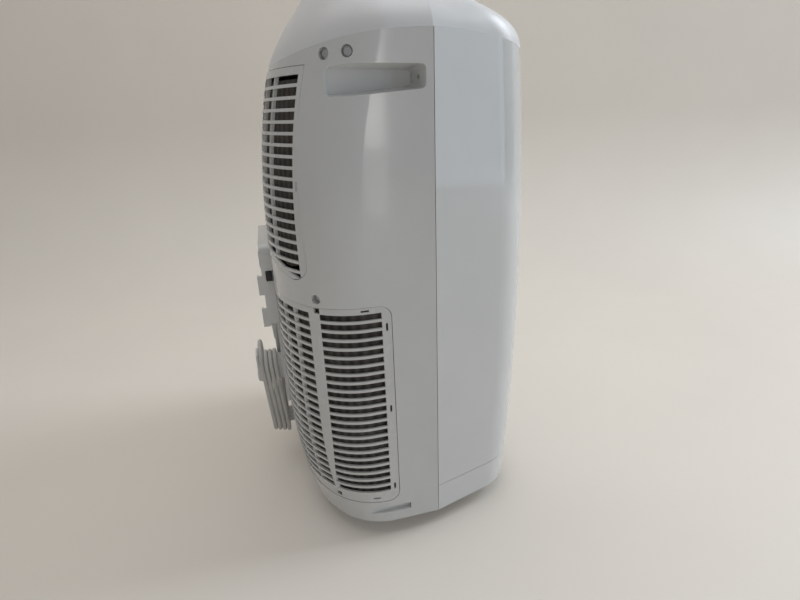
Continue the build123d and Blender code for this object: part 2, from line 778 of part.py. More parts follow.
def deck_plate(width, depth, corner, rise, x, top, bottom):
    face = Pos(x, 0) * RectangleRounded(width, depth, corner)
    return extrude(deck_plane(rise, bottom) * face, bottom - top)


def hinge_rise():
    return FLAP_DEPTH - HINGE_SET


def hinge_rod(x0, x1, radius):
    plane = deck_plane(hinge_rise(), HINGE_DROP)
    return plane * Pos((x0 + x1) / 2, 0, 0) * Rot(0, 90, 0) * Cylinder(radius, x1 - x0)


def ears():
    x0 = FLAP_W / 2 + FLAP_GAP
    x1 = x0 + HINGE_PIN_L
    pin_hole = hinge_rod(x0 - FLAP_GAP, x1 + FLAP_GAP, HINGE_R + RUN_GAP)
    depth = 4 * KNUCKLE_HALF
    ear = deck_box(x1 - x0, depth, hinge_rise(), (x0 + x1) / 2, COVER_WALL / 2, HINGE_DROP + KNUCKLE_HALF)
    ear -= pin_hole
    return [ear, flip(ear)]


def panel_rise():
    return FLAP_DEPTH + PANEL_GAP + PANEL_DEPTH / 2


def button_xs():
    return [BUTTON_PITCH * (i - 0.5) for i in range(len(BUTTON_NAMES))]


def button_holes(radius):
    plane = deck_plane(panel_rise(), BUTTON_T)
    return [plane * Pos(x, 0, 0) * Cylinder(radius, 4 * BUTTON_T) for x in button_xs()]


def top_cover():
    shell = cover_solid(0, 0).cut(cover_solid(COVER_WALL, COVER_WALL)) & above_lip()
    mouth = deck_plate(FLAP_W + 2 * FLAP_GAP, FLAP_DEPTH + 2 * FLAP_GAP, FLAP_CORNER_R, FLAP_DEPTH / 2, 0,
                       -COVER_WALL, 2 * COVER_WALL)
    recess = deck_plate(PANEL_W + FIT_GAP, PANEL_DEPTH + FIT_GAP, PANEL_CORNER_R, panel_rise(), 0,
                        -COVER_WALL, PANEL_T)
    return shell.cut(mouth, recess, *button_holes(BUTTON_R + BUTTON_GAP)).fuse(*ears())


def outlet_flap():
    plate = deck_plate(FLAP_W, FLAP_DEPTH, FLAP_CORNER_R, FLAP_DEPTH / 2, 0, 0, FLAP_T)
    x1 = FLAP_W / 2
    knuckle = deck_box(KNUCKLE_W, 2 * KNUCKLE_HALF, hinge_rise(), x1 - KNUCKLE_W / 2, FLAP_T / 2,
                       HINGE_DROP + KNUCKLE_HALF / 2)
    pin = hinge_rod(x1 - KNUCKLE_W, x1 + FLAP_GAP + HINGE_PIN_L, HINGE_R)
    rib = deck_box(FLAP_W - 4 * FLAP_CORNER_R, FLAP_T, FLAP_CORNER_R, 0, FLAP_T / 2, 2 * FLAP_T)
    return plate.fuse(knuckle, flip(knuckle), pin, flip(pin), rib)


def flap_motor():
    x0 = FLAP_W / 2 + FLAP_GAP + HINGE_PIN_L
    plane = deck_plane(hinge_rise(), HINGE_DROP + HINGE_R)
    case = Rot(0, 90, 0) * Cylinder(2 * HINGE_R + FLAP_T, 2 * HINGE_PIN_L)
    return (plane * Pos(x0 + HINGE_PIN_L, 0, 0) * case) & under_deck(COVER_WALL + BUTTON_GAP)


def control_panel():
    plate = deck_plate(PANEL_W, PANEL_DEPTH, PANEL_CORNER_R, panel_rise(), 0, 0, PANEL_T)
    pocket = deck_plate(DISPLAY_W + BUTTON_GAP, DISPLAY_H + BUTTON_GAP, FLAP_T, panel_rise(), display_x(),
                        -PANEL_T, DISPLAY_T)
    return plate.cut(pocket, *button_holes(BUTTON_R + BUTTON_GAP))


def display_x():
    return -PANEL_W / 2 + PANEL_CORNER_R + DISPLAY_W / 2


def display_window():
    return deck_plate(DISPLAY_W, DISPLAY_H, FLAP_T, panel_rise(), display_x(), 0, DISPLAY_T)


def button(x):
    plane = deck_plane(panel_rise(), BUTTON_T - BUTTON_PROUD)
    cap = plane * Pos(x, 0, BUTTON_T / 2) * Cylinder(BUTTON_R, BUTTON_T)
    return chamfer(cap.edges().group_by(Axis.Z)[-1], BUTTON_PROUD / 3)


def control_board():
    low = COVER_WALL + BUTTON_TRAVEL + BUTTON_GAP
    board = deck_plate(PANEL_W, PANEL_DEPTH, PANEL_T, panel_rise(), 0, low, low + PANEL_T)
    post_h = low - COVER_WALL
    post = Pos(0, 0, post_h / 2) * Cylinder(KNUCKLE_HALF, post_h)
    corners = GridLocations(PANEL_W - 2 * KNUCKLE_W, PANEL_DEPTH - 2 * KNUCKLE_W, 2, 2)
    return board.fuse(*[deck_plane(panel_rise(), low) * place * post for place in corners])


# Filters
def filter_insets():
    outer = RIB_SET_BACK + RIB_DEPTH + FILTER_GAP
    return outer, outer + FILTER_T


def upper_filter():
    sheet = rear_skin(UPPER_LOW_Z, UPPER_TOP_Z, 3, *filter_insets(), rel(REAR_CORNER_R / 2))
    return sheet & prism_y(upper_outline(-FILTER_IN), rel(REAR_CORNER_R), rel(BACK_REACH))


def lower_filter():
    past = UPPER_RIM_SIDE_TOP
    return corner_skin(LOUVRE_LOW_Z - past, LOUVRE_TOP_Z + past, 4, *filter_insets(),
                       rel(LOUVRE_FRONT_REL) - past, GRID_INNER_X - past)


# Exhaust outlet
def exhaust_outlet():
    face = Pos(0, EXHAUST_Z) * RectangleRounded(EXHAUST_W, EXHAUST_H, EXHAUST_CORNER_R)
    core = Pos(0, EXHAUST_Z) * RectangleRounded(EXHAUST_W - 2 * EXHAUST_WALL, EXHAUST_H - 2 * EXHAUST_WALL,
                                                EXHAUST_CORNER_R - EXHAUST_WALL)
    y0 = rel(BACK_REACH) + EXHAUST_SEAT
    y1 = rel(BACK_REACH) + EXHAUST_PROUD
    body = prism_y(face, y0, y1) - prism_y(core, y0 - WALL, y1 - EXHAUST_WALL)
    collar = rod_y(0, EXHAUST_Z, EXHAUST_BORE_R + EXHAUST_WALL, y0 - COLLAR_IN, y1)
    bore = rod_y(0, EXHAUST_Z, EXHAUST_BORE_R, y0 - 2 * COLLAR_IN, y1 + WALL)
    rails = []
    for z in (EXHAUST_Z + RAIL_H / 8, EXHAUST_Z - EXHAUST_H / 2 + RAIL_H / 2 + EXHAUST_WALL):
        x1 = EXHAUST_W / 2
        z0 = z - RAIL_H / 2
        upright = block(x1 - RAIL_T, x1, y1 - EXHAUST_WALL, y1 + RAIL_PROUD, z0, z0 + RAIL_H)
        lip = block(x1 - 2 * RAIL_T, x1, y1 + RAIL_PROUD - EXHAUST_WALL, y1 + RAIL_PROUD, z0, z0 + RAIL_H)
        rails += [upright, lip, flip(upright), flip(lip)]
    window = block(EXHAUST_W / 2 - 2 * EXHAUST_WALL, EXHAUST_W / 2 + EXHAUST_WALL, y0 + FIT_GAP,
                   y0 + FIT_GAP + LATCH_Y + 2 * BUTTON_GAP, LATCH_Z - LATCH_H / 2 - BUTTON_GAP,
                   LATCH_Z + LATCH_H / 2 + BUTTON_GAP)
    return body.fuse(collar, *rails).cut(bore, window, flip(window))


def hose_latch():
    y0 = rel(BACK_REACH) + FIT_GAP + BUTTON_GAP
    x1 = EXHAUST_W / 2 + LATCH_PROUD
    return block(-x1, -x1 + LATCH_L, y0, y0 + LATCH_Y, LATCH_Z - LATCH_H / 2, LATCH_Z + LATCH_H / 2)


# Cord hooks and cord
def upper_hook():
    y0 = rel(BACK_REACH + SPINE_PROUD)
    y1 = rel(HOOK_REACH)
    seat = rod_y(0, HOOK_Z, HOOK_R, y0, y1) + block(-HOOK_R, HOOK_R, y0, y1, HOOK_LOW_Z, HOOK_Z)
    hollow = block(-HOOK_R + WALL, HOOK_R - WALL, y0 - WALL, y1 + WALL, 0, HOOK_LOW_Z + HOOK_R)
    lip = block(-HOOK_R, HOOK_R, y1 - HOOK_LIP_T, y1, HOOK_LOW_Z, HOOK_Z + HOOK_LIP_UP)
    lip = fillet(lip.edges().filter_by(Axis.Y), HOOK_R / 2)
    return (seat - hollow) + lip


def lower_hook():
    z1 = LOWER_HOOK_Z + LOWER_HOOK_HALF / 2
    y0 = rel(LOWER_HOOK_SEAT)
    y1 = rel(LOWER_HOOK_REACH)
    seat = rod_y(0, LOWER_HOOK_Z, LOWER_HOOK_HALF, y0, y1)
    post = block(-LOWER_HOOK_HALF, LOWER_HOOK_HALF, y0, y1, LOWER_HOOK_Z, z1)
    return seat.fuse(post).cut(block(-WIDTH, WIDTH, y0, y1, z1, HEIGHT))


def cord_x():
    return HOOK_R + CORD_SEAT_GAP + CORD_D / 2


def s_run(x, y0, y1, z0, z1):
    """Two tangent arcs that shift sideways from one layer of the hank to the next."""
    z_mid = (z0 + z1) / 2
    y_mid = (y0 + y1) / 2
    quarter = (y1 - y0) / 8
    arcs = []
    for a, b, bow in (((y0, z0), (y_mid, z_mid), -quarter), ((y_mid, z_mid), (y1, z1), quarter)):
        middle = (x, (a[0] + b[0]) / 2 + bow, (a[1] + b[1]) / 2)
        arcs.append(ThreePointArc((x, a[0], a[1]), middle, (x, b[0], b[1])))
    return arcs


def half_turn(x0, x1, y, z, up):
    radius = abs(x1 - x0) / 2
    return ThreePointArc((x0, y, z), ((x0 + x1) / 2, y, z + up * radius), (x1, y, z))


def hank_path():
    """Loops over the upper hook, each shifted one cord outward, ending in the tail to the plug."""
    x = cord_x()
    edges = [Line((x, cord_y(0), HOOK_Z + CORD_D), (x, cord_y(0), HOOK_Z))]
    for loop in range(HANK_LOOPS):
        low = HANK_LOW_Z + loop * HANK_LIFT
        y0 = cord_y(loop)
        y1 = cord_y(loop + 1)
        edges.append(Line((x, y0, HOOK_Z), (x, y0, low)))
        edges.append(half_turn(x, -x, y0, low, -1))
        edges += s_run(-x, y0, y1, low, HOOK_Z)
        if loop < HANK_LOOPS - 1:
            edges.append(half_turn(-x, x, y1, HOOK_Z, 1))
    y1 = cord_y(HANK_LOOPS)
    edges.append(half_turn(-x, tail_x(), y1, HOOK_Z, 1))
    edges.append(Line((tail_x(), y1, HOOK_Z), (tail_x(), y1, TAIL_END_Z)))
    return Wire(edges)


def tail_x():
    return 2 * TAIL_R - cord_x()


def least_self_gap(wire):
    """Smallest gap of the tube to itself, between points more than a few diameters apart along it."""
    count = int(wire.length / (CORD_D / 2))
    points = [wire @ (i / count) for i in range(count + 1)]
    apart = int(4 * CORD_D / (wire.length / count))
    gap = min((points[i] - points[j]).length for i in range(count + 1) for j in range(i + apart, count + 1))
    return gap - CORD_D


def cord_hank():
    path = hank_path()
    start = Plane(path @ 0, z_dir=path % 0)
    tube = sweep(start * Circle(CORD_D / 2), path=path)
    share = tube.volume / (pi * CORD_D ** 2 / 4 * path.length)
    print(f"hank: length {path.length:.0f} mm, fold radius {cord_x():.1f} mm, volume share {share:.4f}")
    print(f"hank: least gap to itself {least_self_gap(path):.2f} mm")
    return tube


def cord_lead():
    return rod_z(cord_x(), cord_y(0), CORD_D / 2, HOOK_Z + CORD_D, GLAND_LOW_Z)


def cord_gland():
    height = GLAND_TOP_Z - GLAND_LOW_Z
    return Pos(cord_x(), cord_y(0), GLAND_LOW_Z + height / 2) * Cone(GLAND_LOW_R, GLAND_TOP_R, height)


def mains_plug():
    x = tail_x()
    y = cord_y(HANK_LOOPS)
    face_z = TAIL_END_Z - PLUG_L
    neck = Pos(x, y, TAIL_END_Z - PLUG_L / 4) * Cone(PLUG_NECK_R, GLAND_LOW_R, PLUG_L / 2)
    body = Pos(x, y, face_z + PLUG_L / 4) * Cylinder(PLUG_R, PLUG_L / 2)
    body = fillet(body.edges(), PLUG_EDGE_R)
    pins = []
    for pin_x in (x - PLUG_PIN_PITCH / 2, x + PLUG_PIN_PITCH / 2):
        pins.append(rod_z(pin_x, y, PLUG_PIN_R, face_z - PLUG_PIN_L, face_z))
    return neck.fuse(body, *pins)


# Base pan, casters and drain
def caster_places():
    return {
        "front_left": (-CASTER_X, rel(CASTER_FRONT_REL)),
        "front_right": (CASTER_X, rel(CASTER_FRONT_REL)),
        "rear_left": (-CASTER_X, rel(CASTER_BACK_REL)),
        "rear_right": (CASTER_X, rel(CASTER_BACK_REL)),
    }


def pan_top():
    return PAN_Z + PAN_T


def base_pan():
    height = PAN_T + PAN_RIM_H
    outer = extrude(full_face(PAN_Z, PAN_INSET), height)
    inner = extrude(Pos(0, 0, PAN_T) * full_face(PAN_Z, PAN_INSET + WALL), height)
    pan = outer - inner
    sockets = [rod_z(x, y, SOCKET_R, PAN_Z, PAN_Z + SOCKET_H) for x, y in caster_places().values()]
    bores = [rod_z(x, y, STEM_R + RUN_GAP, 0, PAN_Z + SOCKET_H - WALL) for x, y in caster_places().values()]
    spout_y = rel(BACK_REACH - back_in(DRAIN_Z))
    block_y = rel(BACK_REACH - back_in(PAN_Z)) - PAN_INSET
    sump = block(DRAIN_X - 2 * DRAIN_R, DRAIN_X + 2 * DRAIN_R, block_y - 2 * DRAIN_R, block_y,
                 PAN_Z, DRAIN_Z + 2 * DRAIN_R)
    spout = rod_y(DRAIN_X, DRAIN_Z, DRAIN_R, block_y - WALL, spout_y + DRAIN_PROUD)
    drain_bore = rod_y(DRAIN_X, DRAIN_Z, DRAIN_BORE_R, block_y - 3 * DRAIN_R, spout_y + 2 * DRAIN_PROUD)
    return pan.fuse(*sockets, sump, spout).cut(*bores, drain_bore)


def drain_cap():
    y1 = rel(BACK_REACH - back_in(DRAIN_Z)) + DRAIN_PROUD + CAP_T
    cup = rod_y(DRAIN_X, DRAIN_Z, DRAIN_R + BUTTON_GAP + CAP_T, y1 - CAP_L + CAP_T, y1)
    return cup - rod_y(DRAIN_X, DRAIN_Z, DRAIN_R + BUTTON_GAP, y1 - CAP_L, y1 - CAP_T + BUTTON_GAP)


def caster_fork(x, y):
    """Fork with its stem and axle, trailing to the back."""
    plate_top = PAN_Z - FORK_GAP
    side = WHEEL_W / 2 + FORK_SIDE_GAP
    plate = Pos(0, 0, plate_top - FORK_T / 2) * Cylinder(FORK_PLATE_R, FORK_T)
    stem = Pos(0, 0, plate_top + STEM_H / 2) * Cylinder(STEM_R, STEM_H)
    plate_low = plate_top - FORK_T
    cheek = Polygon((TRAIL - CHEEK_R, WHEEL_R), (TRAIL + CHEEK_R, WHEEL_R), (CHEEK_BACK, plate_low),
                    (-CHEEK_FRONT, plate_low), align=None)
    cheek += Pos(TRAIL, WHEEL_R) * Circle(CHEEK_R)
    cheek -= Pos(TRAIL, WHEEL_R) * Circle(AXLE_R)
    cheeks = [extrude(Plane.YZ.offset(sx) * cheek, FORK_T) for sx in (side, -side - FORK_T)]
    axle = Pos(0, TRAIL, WHEEL_R) * Rot(0, 90, 0) * Cylinder(AXLE_R, 2 * (side + FORK_T))
    fork = plate.fuse(stem, *cheeks)
    place = Pos(x, y, 0)
    return Compound(children=[place * fork, place * axle])


def caster_wheel(x, y):
    tyre = chamfer(Cylinder(WHEEL_R, WHEEL_W).edges(), TYRE_EDGE)
    tyre -= Cylinder(AXLE_R + RUN_GAP, 2 * WHEEL_W)
    dish = Cylinder(DISH_R, WHEEL_W) - Cylinder(2 * AXLE_R, 2 * WHEEL_W)
    for side in (-1, 1):
        tyre -= Pos(0, 0, side * (WHEEL_W - DISH_DEPTH)) * dish
    return Pos(x, y + TRAIL, WHEEL_R) * Rot(0, 90, 0) * tyre


# Inner parts
def fan_wheel(radius, z):
    """Drum fan with its shaft, turning about an axis from front to back."""
    y0 = rel(SCROLL_REL) + (SCROLL_DEPTH - FAN_W) / 2
    disc = rod_z(0, 0, radius, 0, BLADE_T * 2)
    hub = rod_z(0, 0, 3 * SHAFT_R, 0, FAN_W / 2)
    overhang = (SCROLL_DEPTH - FAN_W) / 2 + MOTOR_L / 2
    shaft = rod_z(0, 0, SHAFT_R, -overhang, FAN_W / 2)
    rim = Cylinder(radius, BLADE_T * 2) - Cylinder(radius - BLADE_L, BLADE_T * 4)
    rim = Pos(0, 0, FAN_W - BLADE_T) * rim
    blade = Rot(0, 0, BLADE_ANGLE) * Box(BLADE_L, BLADE_T, FAN_W - BLADE_T)
    blade = Pos(radius - BLADE_L / 2 - BLADE_T, 0, FAN_W / 2) * blade
    blades = [Rot(0, 0, 360 / FAN_BLADES * i) * blade for i in range(FAN_BLADES)]
    wheel = disc.fuse(hub, shaft, rim, *blades)
    return Pos(0, y0, z) * Rot(-90, 0, 0) * wheel


def scroll_face(radius, z, top, x0, x1, grow):
    """Round housing with a tower to one side."""
    tower = Pos((x0 + x1) / 2, (z + top) / 2 + grow) * Rectangle(x1 - x0 + 2 * grow, top - z + 2 * grow)
    return Pos(0, z) * Circle(radius + grow) + tower


def fan_scroll(radius, z, top, x0, x1, foot_z, eye_r):
    y0 = rel(SCROLL_REL)
    y1 = y0 + SCROLL_DEPTH
    outer = prism_y(scroll_face(radius, z, top, x0, x1, 0), y0, y1)
    inner = prism_y(scroll_face(radius, z, top, x0, x1, -SCROLL_T), y0 + SCROLL_T, y1 - SCROLL_T)
    mouth = block(x0 + SCROLL_T, x1 - SCROLL_T, y0 + SCROLL_T, y1 - SCROLL_T, z + radius / 2, top + SCROLL_T)
    eye = rod_y(0, z, eye_r, y1 - 2 * SCROLL_T, y1 + SCROLL_T)
    shaft_hole = rod_y(0, z, 2 * SHAFT_R, y0 - SCROLL_T, y0 + 2 * SCROLL_T)
    feet = block(-radius * 0.6, radius * 0.6, y0, y1, foot_z, z - radius * 0.78)
    return outer.fuse(feet).cut(inner, mouth, eye, shaft_hole)


def fan_motor(z):
    y1 = rel(SCROLL_REL)
    body = fillet(rod_y(0, z, MOTOR_R, y1 - MOTOR_L, y1 - SCROLL_T).edges(), SHAFT_R)
    flange = rod_y(0, z, MOTOR_R + 2 * SHAFT_R, y1 - 2 * SCROLL_T, y1)
    bore = rod_y(0, z, SHAFT_R + RUN_GAP, y1 - MOTOR_L * 0.7, y1 + SCROLL_T)
    return body.fuse(flange).cut(bore)


def coil(width, height, z0, foot_z):
    """Finned block between two end plates, with the return bends of its tubes."""
    y0 = rel(COIL_REL)
    core = block(-width / 2, width / 2, y0 + WALL, y0 + COIL_T - WALL, z0, z0 + height)
    count = int(width / FIN_PITCH)
    y1 = y0 + COIL_T
    top = z0 + height
    fin_xs = [-width / 2 + i * FIN_PITCH for i in range(count + 1)]
    fins = [block(x, x + BLADE_T, y0, y1, z0, top) for x in fin_xs]
    ends = [block(x, x + SCROLL_T, y0, y1, foot_z, top) for x in (-width / 2 - SCROLL_T, width / 2)]
    pitch = 6 * COIL_TUBE_R
    bend = Rot(90, 0, 0) * Torus(pitch / 2, COIL_TUBE_R)
    bends = []
    for i in range(int(height / (2 * pitch))):
        z = z0 + pitch * (2 * i + 1)
        keep = block(-width / 2 - 2 * pitch, -width / 2 - SCROLL_T / 2, y0, y1, z - pitch, z + pitch)
        bends.append((Pos(-width / 2 - SCROLL_T, y0 + COIL_T / 2, z) * bend) & keep)
    return core.fuse(*fins, *ends, *bends)


def mid_deck():
    plate = extrude(full_face(MID_DECK_Z, MID_DECK_INSET), MID_DECK_T)
    cut = block(-WIDTH, WIDTH, rel(MID_DECK_BACK_REL), rel(BACK_REACH), 0, HEIGHT)
    corner = block(MID_DECK_SIDE_X, WIDTH, rel(MID_DECK_SIDE_REL), rel(BACK_REACH), 0, HEIGHT)
    return plate.cut(cut, corner, flip(corner))


def exhaust_duct():
    """Box from the top of the warm fan's tower to the collar of the exhaust outlet."""
    half = EXHAUST_BORE_R + 4 * EXHAUST_WALL
    y0 = rel(SCROLL_REL)
    y1 = rel(BACK_REACH) - COLLAR_IN + 2 * EXHAUST_WALL

    def room(inset):
        low = PLENUM_LOW_Z + inset
        high = MID_DECK_Z - inset
        side = block(-half + inset, COND_SCROLL_R + SCROLL_T - inset, y0 + inset, y0 + SCROLL_DEPTH - inset,
                     low, high)
        return side + block(-half + inset, half - inset, y0 + inset, y1 - inset, low, high)

    outer = room(0)
    inner = room(DUCT_WALL)
    port_r = EXHAUST_BORE_R + EXHAUST_WALL + BUTTON_GAP
    port = rod_y(0, EXHAUST_Z, port_r, y1 - 2 * DUCT_WALL, y1 + DUCT_WALL)
    intake = block(COND_SCROLL_R - TOWER_W + SCROLL_T, COND_SCROLL_R - SCROLL_T, y0 + DUCT_WALL,
                   y0 + SCROLL_DEPTH - DUCT_WALL, PLENUM_LOW_Z - DUCT_WALL, PLENUM_LOW_Z + 2 * DUCT_WALL)
    return outer.cut(inner, port, intake)


def outlet_duct():
    """Box over the cold fan's tower, opening upward under the flap."""
    half = FLAP_W / 2
    front = rel(DECK_FRONT_REL)
    step = rel(DUCT_STEP_REL)
    back = rel(DUCT_BACK_REL)

    def hollow(inset, bottom):
        rear = block(-half + inset, half - inset, step - inset, back - inset,
                     bottom, DUCT_Z + DUCT_BOX_H - inset)
        front_box = block(-half + inset, half - inset, front + inset, step - inset, bottom, HEIGHT)
        return rear + front_box

    outer = hollow(0, DUCT_Z) & under_deck(DUCT_DROP)
    intake = block(-EVAP_SCROLL_R + SCROLL_T, -EVAP_SCROLL_R + TOWER_W - SCROLL_T,
                   rel(SCROLL_REL) + SCROLL_T, rel(SCROLL_REL) + SCROLL_DEPTH - SCROLL_T,
                   DUCT_Z - DUCT_WALL, DUCT_Z + 2 * DUCT_WALL)
    return outer.cut(hollow(DUCT_WALL, DUCT_Z + DUCT_WALL), intake)


def outlet_vanes():
    """Fixed guide vanes across the mouth of the outlet duct."""
    half = FLAP_W / 2 - DUCT_WALL
    front = rel(DECK_FRONT_REL) + DUCT_WALL
    back = rel(DUCT_STEP_REL) - DUCT_WALL
    z0 = DUCT_Z + DUCT_WALL
    middle = (front + back) / 2
    vane_xs = [half * (2 * i / VANE_CELLS - 1) for i in range(1, VANE_CELLS)]
    vanes = [block(x - BLADE_T / 2, x + BLADE_T / 2, front, back, z0, HEIGHT) for x in vane_xs]
    bar = block(-half, half, middle - BLADE_T, middle + BLADE_T, z0, z0 + DUCT_BOX_H / 2)
    return bar.fuse(*vanes) & under_deck(DUCT_DROP + DUCT_WALL)


def grommet_places():
    turns = [radians(90 + 120 * i) for i in range(3)]
    reach = COMP_FOOT_R - GROMMET_R
    return [(COMP_X + reach * cos(t), rel(COMP_REL) + reach * sin(t)) for t in turns]


def compressor():
    """Welded shell on a three-armed foot, with the suction tank strapped to its side."""
    foot_z = pan_top() + GROMMET_H
    y = rel(COMP_REL)
    body = rod_z(COMP_X, y, COMP_R, foot_z, foot_z + COMP_H)
    body = fillet(body.edges(), COMP_EDGE_R)
    pads = [rod_z(gx, gy, GROMMET_R, foot_z, foot_z + WALL) for gx, gy in grommet_places()]
    reach = COMP_FOOT_R - GROMMET_R
    arms = [Pos(COMP_X, y, foot_z + WALL / 2) * Rot(0, 0, 90 + 120 * i) * Pos(reach / 2, 0, 0)
            * Box(reach, 2 * GROMMET_R, WALL) for i in range(3)]
    stub = rod_z(COMP_X, y, PIPE_R + WALL, foot_z + COMP_H - WALL, foot_z + COMP_H + 2 * WALL)
    tx, ty = tank_place()
    tank = fillet(rod_z(tx, ty, TANK_R, tank_top() - TANK_H, tank_top()).edges(), TANK_EDGE_R)
    strap_z = tank_top() - TANK_H / 2
    strap = rod_z((tx + COMP_X) / 2, (ty + y) / 2, TANK_R, strap_z, strap_z + 4 * WALL)
    return body.fuse(*pads, *arms, stub, tank, strap)


def tank_place():
    reach = COMP_R + TANK_R + WALL
    turn = radians(TANK_TURN)
    return COMP_X + reach * cos(turn), rel(COMP_REL) + reach * sin(turn)


def tank_top():
    return pan_top() + GROMMET_H + TANK_RISE


def compressor_grommets():
    top = pan_top() + GROMMET_H
    return Compound(children=[rod_z(x, y, GROMMET_R, pan_top(), top) for x, y in grommet_places()])


def suction_x():
    return EVAP_COIL_W / 2 + SCROLL_T + 4 * PIPE_R


def pipe(points, radius):
    path = FilletPolyline(*points, radius=radius)
    return sweep(Plane(path @ 0, z_dir=path % 0) * Circle(PIPE_R), path=path)


def refrigerant_pipes():
    bend = 4 * PIPE_R
    bend_r = 0.7 * bend
    coil_y = rel(COIL_REL) + COIL_T / 2
    comp_top = pan_top() + GROMMET_H + COMP_H + 2 * WALL
    run_z = PLENUM_LOW_Z + 3 * PIPE_R
    head_x = COND_COIL_W / 2 + SCROLL_T
    hot_x = head_x + 6 * PIPE_R
    hot = pipe([(COMP_X, rel(COMP_REL), comp_top), (COMP_X, rel(COMP_REL), run_z),
                (hot_x, rel(COMP_REL) + 2 * bend, run_z), (hot_x, coil_y, run_z),
                (hot_x, coil_y, run_z - 4 * bend), (head_x, coil_y, run_z - 4 * bend)], bend_r)
    tx, ty = tank_place()
    cold_z = MID_DECK_Z + MID_DECK_T + 2 * bend
    evap_x = EVAP_COIL_W / 2 + SCROLL_T
    low = MID_DECK_Z - 2 * bend
    cold = pipe([(evap_x, coil_y, cold_z), (suction_x(), coil_y, cold_z), (suction_x(), coil_y, low),
                 (tx, ty, low), (tx, ty, tank_top())], bend_r)
    return Compound(children=[hot, cold])


def control_box():
    z0 = MID_DECK_Z + MID_DECK_T
    x1 = -MOTOR_R - 8 * SHAFT_R
    y0 = rel(BOX_REL)
    case = block(x1 - BOX_W, x1, y0, y0 + BOX_DEPTH, z0, z0 + BOX_H)
    hollow = block(x1 - BOX_W + DUCT_WALL, x1 - DUCT_WALL, y0 - DUCT_WALL, y0 + BOX_DEPTH - DUCT_WALL,
                   z0 + DUCT_WALL, z0 + BOX_H - DUCT_WALL)
    board = block(x1 - BOX_W + DUCT_WALL, x1 - DUCT_WALL, y0 + BOX_DEPTH / 2, y0 + BOX_DEPTH / 2 + DUCT_WALL,
                  z0 + DUCT_WALL, z0 + BOX_H - DUCT_WALL)
    capacitor = rod_z(x1 - BOX_W / 3, y0 + BOX_DEPTH / 4, BOX_DEPTH / 5, z0 + DUCT_WALL, z0 + BOX_H / 2)
    return (case - hollow).fuse(board, capacitor)


def slinger_wheel():
    y0 = rel(SLING_REL)
    disc = rod_y(SLING_X, SLING_Z, SLING_R * 0.7, y0, y0 + SLING_T / 3)
    paddles = []
    for i in range(4):
        turned = Rot(0, 45 * i, 0) * Box(2 * SLING_R, SLING_T, BLADE_T)
        paddles.append(Pos(SLING_X, y0 + SLING_T / 2, SLING_Z) * turned)
    shaft = rod_y(SLING_X, SLING_Z, SHAFT_R / 2, y0 - SLING_MOTOR_L / 2, y0 + SLING_T)
    return disc.fuse(shaft, *paddles)


def slinger_motor():
    y1 = rel(SLING_REL) - SLING_T / 3
    body = rod_y(SLING_X, SLING_Z, SLING_MOTOR_R, y1 - SLING_MOTOR_L, y1)
    post = block(SLING_X - SLING_MOTOR_R / 2, SLING_X + SLING_MOTOR_R / 2, y1 - SLING_MOTOR_L, y1,
                 pan_top(), SLING_Z)
    bore = rod_y(SLING_X, SLING_Z, SHAFT_R / 2 + RUN_GAP, y1 - SLING_MOTOR_L * 0.7, y1 + SLING_T)
    return body.fuse(post).cut(bore)


def housing_screws():
    screws = []
    for frame in well_frames():
        floor = -(WELL_DEPTH - WELL_WALL)
        head = frame * Pos(0, 0, floor + SCREW_HEAD_T / 2) * Cylinder(SCREW_HEAD_R, SCREW_HEAD_T)
        shank = frame * Pos(0, 0, floor - SCREW_L / 2) * Cylinder(SCREW_R, SCREW_L)
        screws.append(head + shank)
    return Compound(children=screws)


